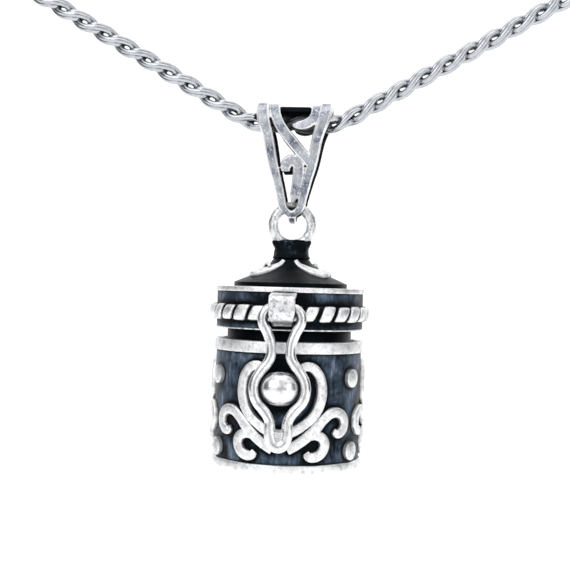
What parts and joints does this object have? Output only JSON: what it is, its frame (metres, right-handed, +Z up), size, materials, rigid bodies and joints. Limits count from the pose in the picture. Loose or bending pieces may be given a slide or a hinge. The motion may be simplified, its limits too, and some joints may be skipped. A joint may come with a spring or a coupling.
{
  "type": "prayer box locket pendant",
  "caption": "Round silver prayer-box locket with a hinged domed lid, wire hasp over a ball, scrollwork on the cup and an openwork bail on a chain.",
  "frame": {"origin": "centre of the chain where it passes through the bail, which is what holds the locket up", "axes": "+Z up along the locket's axis, -Y out of the front with the hasp, +X to the right seen from the front"},
  "size_m": [0.0634, 0.0184, 0.0488],
  "materials": {
    "polished_silver": "bright polished silver, hand-worked, with faint dark mottling in its hollows",
    "blackened_silver": "oxidised silver, blue-grey to black, rubbed brighter in streaks",
    "chain_silver": "bright silver wire, darker between the links"
  },
  "bodies": {
    "chain": {"chain_run": "chain_silver", "chain_loop_left": "chain_silver", "chain_loop_right": "chain_silver"},
    "bail": {"bail_frame": "polished_silver", "bail_hook_front": "polished_silver", "bail_hook_back": "polished_silver"},
    "lid": {"top_ring": "polished_silver", "neck": "blackened_silver", "dome": "blackened_silver", "dome_leaf_right_1": "polished_silver", "dome_leaf_left_1": "polished_silver", "dome_leaf_right_2": "polished_silver", "dome_leaf_left_2": "polished_silver", "lid_plate": "polished_silver", "lid_wall": "blackened_silver", "rope_band": "polished_silver", "staple": "polished_silver", "lid_hinge_leaf": "polished_silver"},
    "cup": {"cup_wall": "blackened_silver", "cup_band": "polished_silver", "cup_base": "polished_silver", "collar": "blackened_silver", "tulip_1": "polished_silver", "scroll_right_1": "polished_silver", "scroll_left_1": "polished_silver", "dot_upper_1": "polished_silver", "dot_lower_1": "polished_silver", "tulip_2": "polished_silver", "scroll_right_2": "polished_silver", "scroll_left_2": "polished_silver", "dot_upper_2": "polished_silver", "dot_lower_2": "polished_silver", "tulip_3": "polished_silver", "scroll_right_3": "polished_silver", "scroll_left_3": "polished_silver", "dot_upper_3": "polished_silver", "dot_lower_3": "polished_silver", "latch_ball": "polished_silver", "cup_hinge_leaf": "polished_silver", "hinge_pin": "polished_silver"},
    "hasp": {"hasp": "polished_silver"}
  },
  "joints": [
    {"name": "bail_swing", "type": "hinge", "parent": "chain", "child": "bail", "pos_m": [0, 0, 0], "axis": [1, 0, 0], "range_deg": [-50, 50]},
    {"name": "locket_swing", "type": "hinge", "parent": "bail", "child": "lid", "pos_m": [0, 0, -0.00775], "axis": [1, 0, 0], "range_deg": [-30, 30]},
    {"name": "lid_hinge", "type": "hinge", "parent": "lid", "child": "cup", "pos_m": [0, 0.00772, -0.01988], "axis": [1, 0, 0], "range_deg": [0, 110]},
    {"name": "hasp_swing", "type": "hinge", "parent": "lid", "child": "hasp", "pos_m": [0, -0.00819, -0.0174], "axis": [-1, 0, 0], "range_deg": [0, 165]}
  ],
  "couplings": [
    {"joint": "hasp_swing", "follows": "lid_hinge", "ratio": 1.5}
  ]
}
